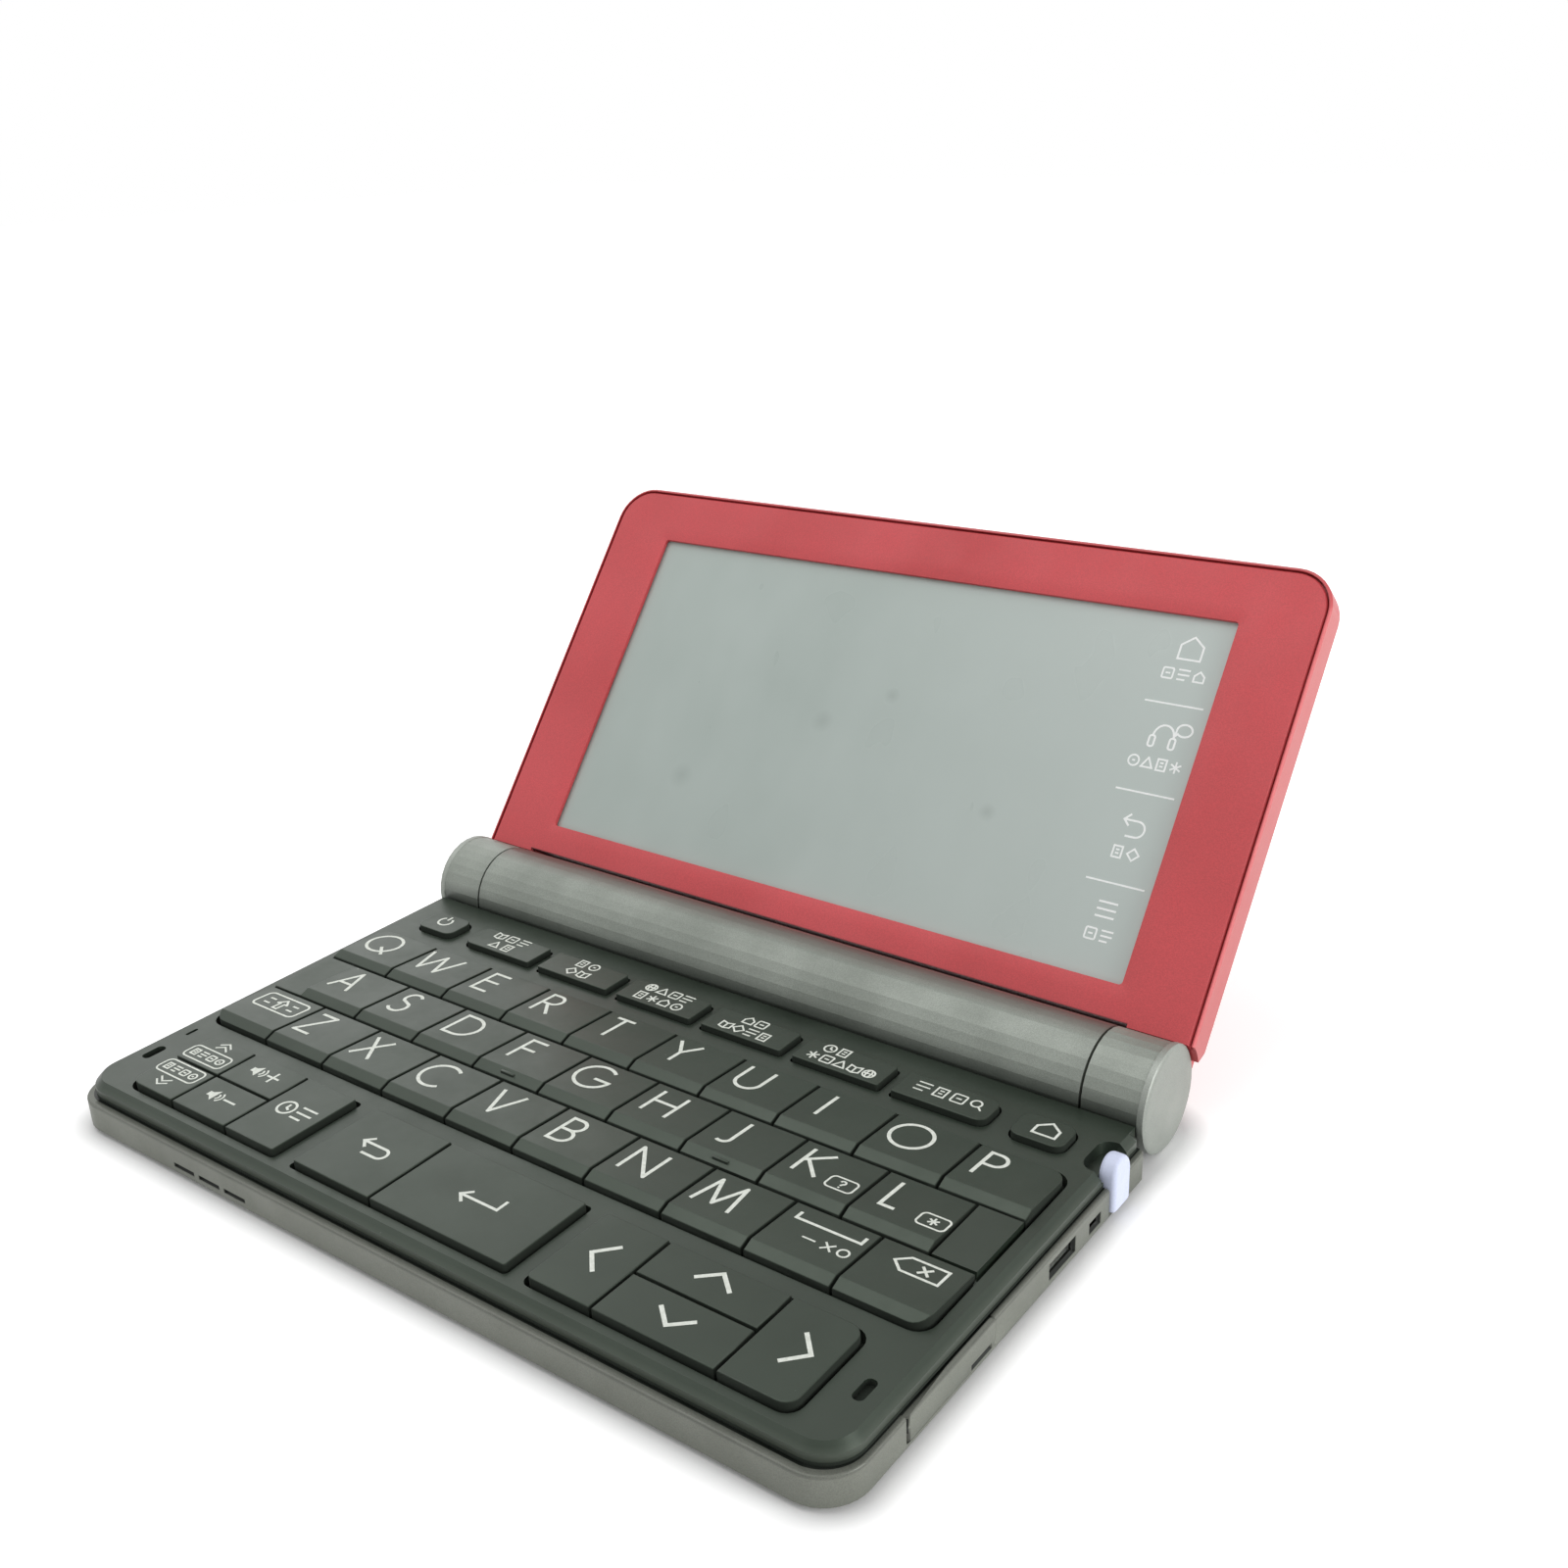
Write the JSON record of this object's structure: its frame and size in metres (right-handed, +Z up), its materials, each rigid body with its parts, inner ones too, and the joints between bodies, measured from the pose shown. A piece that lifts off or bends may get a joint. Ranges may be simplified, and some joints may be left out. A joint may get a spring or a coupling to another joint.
{
  "type": "electronic dictionary",
  "caption": "Clamshell pocket dictionary: case with pressing keys, battery barrel along the back and a hinged lid with a wide screen, with a pull-out stylus.",
  "frame": {"origin": "centre of the bounding box in plan, on the surface the feet stand on", "axes": "+X to the user's right, +Y from the user towards the back, +Z up"},
  "size_m": [0.1486, 0.147, 0.0749],
  "materials": {
    "case_metallic": "grey-brown metallic paint on plastic",
    "deck_black": "fine matt charcoal",
    "key_black": "fine matt charcoal with pale legends",
    "barrel_grey": "silver-grey metallic paint on plastic",
    "lid_red": "red metallic paint on plastic",
    "bezel_red": "satin red",
    "screen_grey": "switched-off screen, grey-green, softly reflecting",
    "board_green": "solder mask",
    "cell_sleeve": "plain printed sleeve",
    "stylus_lilac": "pale lavender"
  },
  "bodies": {
    "base": {"lower_case": "case_metallic", "upper_case": "deck_black", "main_board": "board_green", "batteries": "cell_sleeve"},
    "lid": {"lid_cover": "lid_red", "lid_bezel": "bezel_red", "screen_panel": "screen_grey", "knuckle_left": "barrel_grey", "knuckle_right": "barrel_grey"},
    "stylus": {"stylus": "stylus_lilac"},
    "battery_cover": {"battery_cover": "barrel_grey"},
    "card_flap": {"card_flap": "case_metallic"},
    "key_shift": {"key_shift": "key_black"},
    "key_space": {"key_space": "key_black"},
    "key_delete": {"key_delete": "key_black"},
    "key_z": {"key_z": "key_black"},
    "key_x": {"key_x": "key_black"},
    "key_c": {"key_c": "key_black"},
    "key_v": {"key_v": "key_black"},
    "key_b": {"key_b": "key_black"},
    "key_n": {"key_n": "key_black"},
    "key_m": {"key_m": "key_black"},
    "key_a": {"key_a": "key_black"},
    "key_s": {"key_s": "key_black"},
    "key_d": {"key_d": "key_black"},
    "key_f": {"key_f": "key_black"},
    "key_g": {"key_g": "key_black"},
    "key_h": {"key_h": "key_black"},
    "key_j": {"key_j": "key_black"},
    "key_k": {"key_k": "key_black"},
    "key_l": {"key_l": "key_black"},
    "key_q": {"key_q": "key_black"},
    "key_w": {"key_w": "key_black"},
    "key_e": {"key_e": "key_black"},
    "key_r": {"key_r": "key_black"},
    "key_t": {"key_t": "key_black"},
    "key_y": {"key_y": "key_black"},
    "key_u": {"key_u": "key_black"},
    "key_i": {"key_i": "key_black"},
    "key_o": {"key_o": "key_black"},
    "key_p": {"key_p": "key_black"},
    "key_words_1": {"key_words_1": "key_black"},
    "key_words_2": {"key_words_2": "key_black"},
    "key_words_3": {"key_words_3": "key_black"},
    "key_words_4": {"key_words_4": "key_black"},
    "key_words_5": {"key_words_5": "key_black"},
    "key_contents": {"key_contents": "key_black"},
    "key_power": {"key_power": "key_black"},
    "key_home": {"key_home": "key_black"},
    "key_previous": {"key_previous": "key_black"},
    "key_next": {"key_next": "key_black"},
    "key_volume_up": {"key_volume_up": "key_black"},
    "key_volume_down": {"key_volume_down": "key_black"},
    "key_history": {"key_history": "key_black"},
    "key_back": {"key_back": "key_black"},
    "key_enter": {"key_enter": "key_black"},
    "key_left": {"key_left": "key_black"},
    "key_up": {"key_up": "key_black"},
    "key_down": {"key_down": "key_black"},
    "key_right": {"key_right": "key_black"}
  },
  "joints": [
    {"name": "lid_open", "type": "hinge", "parent": "base", "child": "lid", "pos_m": [-0.00035, 0.01361, 0.0085], "axis": [-1, 0, 0], "range_deg": [-128.9, 21]},
    {"name": "stylus_pull", "type": "slide", "parent": "base", "child": "stylus", "axis": [1, 0, 0], "range_m": [0, 0.098]},
    {"name": "battery_cover_off", "type": "slide", "parent": "base", "child": "battery_cover", "axis": [0, 0.4695, -0.8829], "range_m": [0, 0.02]},
    {"name": "card_flap_open", "type": "hinge", "parent": "base", "child": "card_flap", "pos_m": [0.07285, -0.05859, 0.003], "axis": [0, 0, -1], "range_deg": [0, 90]},
    {"name": "press_shift", "type": "slide", "parent": "base", "child": "key_shift", "axis": [0, 0, -1], "range_m": [0, 0.0009], "stiffness_N_per_m": 500},
    {"name": "press_space", "type": "slide", "parent": "base", "child": "key_space", "axis": [0, 0, -1], "range_m": [0, 0.0009], "stiffness_N_per_m": 500},
    {"name": "press_delete", "type": "slide", "parent": "base", "child": "key_delete", "axis": [0, 0, -1], "range_m": [0, 0.0009], "stiffness_N_per_m": 500},
    {"name": "press_z", "type": "slide", "parent": "base", "child": "key_z", "axis": [0, 0, -1], "range_m": [0, 0.0009], "stiffness_N_per_m": 500},
    {"name": "press_x", "type": "slide", "parent": "base", "child": "key_x", "axis": [0, 0, -1], "range_m": [0, 0.0009], "stiffness_N_per_m": 500},
    {"name": "press_c", "type": "slide", "parent": "base", "child": "key_c", "axis": [0, 0, -1], "range_m": [0, 0.0009], "stiffness_N_per_m": 500},
    {"name": "press_v", "type": "slide", "parent": "base", "child": "key_v", "axis": [0, 0, -1], "range_m": [0, 0.0009], "stiffness_N_per_m": 500},
    {"name": "press_b", "type": "slide", "parent": "base", "child": "key_b", "axis": [0, 0, -1], "range_m": [0, 0.0009], "stiffness_N_per_m": 500},
    {"name": "press_n", "type": "slide", "parent": "base", "child": "key_n", "axis": [0, 0, -1], "range_m": [0, 0.0009], "stiffness_N_per_m": 500},
    {"name": "press_m", "type": "slide", "parent": "base", "child": "key_m", "axis": [0, 0, -1], "range_m": [0, 0.0009], "stiffness_N_per_m": 500},
    {"name": "press_a", "type": "slide", "parent": "base", "child": "key_a", "axis": [0, 0, -1], "range_m": [0, 0.0009], "stiffness_N_per_m": 500},
    {"name": "press_s", "type": "slide", "parent": "base", "child": "key_s", "axis": [0, 0, -1], "range_m": [0, 0.0009], "stiffness_N_per_m": 500},
    {"name": "press_d", "type": "slide", "parent": "base", "child": "key_d", "axis": [0, 0, -1], "range_m": [0, 0.0009], "stiffness_N_per_m": 500},
    {"name": "press_f", "type": "slide", "parent": "base", "child": "key_f", "axis": [0, 0, -1], "range_m": [0, 0.0009], "stiffness_N_per_m": 500},
    {"name": "press_g", "type": "slide", "parent": "base", "child": "key_g", "axis": [0, 0, -1], "range_m": [0, 0.0009], "stiffness_N_per_m": 500},
    {"name": "press_h", "type": "slide", "parent": "base", "child": "key_h", "axis": [0, 0, -1], "range_m": [0, 0.0009], "stiffness_N_per_m": 500},
    {"name": "press_j", "type": "slide", "parent": "base", "child": "key_j", "axis": [0, 0, -1], "range_m": [0, 0.0009], "stiffness_N_per_m": 500},
    {"name": "press_k", "type": "slide", "parent": "base", "child": "key_k", "axis": [0, 0, -1], "range_m": [0, 0.0009], "stiffness_N_per_m": 500},
    {"name": "press_l", "type": "slide", "parent": "base", "child": "key_l", "axis": [0, 0, -1], "range_m": [0, 0.0009], "stiffness_N_per_m": 500},
    {"name": "press_q", "type": "slide", "parent": "base", "child": "key_q", "axis": [0, 0, -1], "range_m": [0, 0.0009], "stiffness_N_per_m": 500},
    {"name": "press_w", "type": "slide", "parent": "base", "child": "key_w", "axis": [0, 0, -1], "range_m": [0, 0.0009], "stiffness_N_per_m": 500},
    {"name": "press_e", "type": "slide", "parent": "base", "child": "key_e", "axis": [0, 0, -1], "range_m": [0, 0.0009], "stiffness_N_per_m": 500},
    {"name": "press_r", "type": "slide", "parent": "base", "child": "key_r", "axis": [0, 0, -1], "range_m": [0, 0.0009], "stiffness_N_per_m": 500},
    {"name": "press_t", "type": "slide", "parent": "base", "child": "key_t", "axis": [0, 0, -1], "range_m": [0, 0.0009], "stiffness_N_per_m": 500},
    {"name": "press_y", "type": "slide", "parent": "base", "child": "key_y", "axis": [0, 0, -1], "range_m": [0, 0.0009], "stiffness_N_per_m": 500},
    {"name": "press_u", "type": "slide", "parent": "base", "child": "key_u", "axis": [0, 0, -1], "range_m": [0, 0.0009], "stiffness_N_per_m": 500},
    {"name": "press_i", "type": "slide", "parent": "base", "child": "key_i", "axis": [0, 0, -1], "range_m": [0, 0.0009], "stiffness_N_per_m": 500},
    {"name": "press_o", "type": "slide", "parent": "base", "child": "key_o", "axis": [0, 0, -1], "range_m": [0, 0.0009], "stiffness_N_per_m": 500},
    {"name": "press_p", "type": "slide", "parent": "base", "child": "key_p", "axis": [0, 0, -1], "range_m": [0, 0.0009], "stiffness_N_per_m": 500},
    {"name": "press_words_1", "type": "slide", "parent": "base", "child": "key_words_1", "axis": [0, 0, -1], "range_m": [0, 0.0009], "stiffness_N_per_m": 500},
    {"name": "press_words_2", "type": "slide", "parent": "base", "child": "key_words_2", "axis": [0, 0, -1], "range_m": [0, 0.0009], "stiffness_N_per_m": 500},
    {"name": "press_words_3", "type": "slide", "parent": "base", "child": "key_words_3", "axis": [0, 0, -1], "range_m": [0, 0.0009], "stiffness_N_per_m": 500},
    {"name": "press_words_4", "type": "slide", "parent": "base", "child": "key_words_4", "axis": [0, 0, -1], "range_m": [0, 0.0009], "stiffness_N_per_m": 500},
    {"name": "press_words_5", "type": "slide", "parent": "base", "child": "key_words_5", "axis": [0, 0, -1], "range_m": [0, 0.0009], "stiffness_N_per_m": 500},
    {"name": "press_contents", "type": "slide", "parent": "base", "child": "key_contents", "axis": [0, 0, -1], "range_m": [0, 0.0009], "stiffness_N_per_m": 500},
    {"name": "press_power", "type": "slide", "parent": "base", "child": "key_power", "axis": [0, 0, -1], "range_m": [0, 0.0009], "stiffness_N_per_m": 500},
    {"name": "press_home", "type": "slide", "parent": "base", "child": "key_home", "axis": [0, 0, -1], "range_m": [0, 0.0009], "stiffness_N_per_m": 500},
    {"name": "press_previous", "type": "slide", "parent": "base", "child": "key_previous", "axis": [0, 0, -1], "range_m": [0, 0.0009], "stiffness_N_per_m": 500},
    {"name": "press_next", "type": "slide", "parent": "base", "child": "key_next", "axis": [0, 0, -1], "range_m": [0, 0.0009], "stiffness_N_per_m": 500},
    {"name": "press_volume_up", "type": "slide", "parent": "base", "child": "key_volume_up", "axis": [0, 0, -1], "range_m": [0, 0.0009], "stiffness_N_per_m": 500},
    {"name": "press_volume_down", "type": "slide", "parent": "base", "child": "key_volume_down", "axis": [0, 0, -1], "range_m": [0, 0.0009], "stiffness_N_per_m": 500},
    {"name": "press_history", "type": "slide", "parent": "base", "child": "key_history", "axis": [0, 0, -1], "range_m": [0, 0.0009], "stiffness_N_per_m": 500},
    {"name": "press_back", "type": "slide", "parent": "base", "child": "key_back", "axis": [0, 0, -1], "range_m": [0, 0.0009], "stiffness_N_per_m": 500},
    {"name": "press_enter", "type": "slide", "parent": "base", "child": "key_enter", "axis": [0, 0, -1], "range_m": [0, 0.0009], "stiffness_N_per_m": 500},
    {"name": "press_left", "type": "slide", "parent": "base", "child": "key_left", "axis": [0, 0, -1], "range_m": [0, 0.0009], "stiffness_N_per_m": 500},
    {"name": "press_up", "type": "slide", "parent": "base", "child": "key_up", "axis": [0, 0, -1], "range_m": [0, 0.0009], "stiffness_N_per_m": 500},
    {"name": "press_down", "type": "slide", "parent": "base", "child": "key_down", "axis": [0, 0, -1], "range_m": [0, 0.0009], "stiffness_N_per_m": 500},
    {"name": "press_right", "type": "slide", "parent": "base", "child": "key_right", "axis": [0, 0, -1], "range_m": [0, 0.0009], "stiffness_N_per_m": 500}
  ]
}
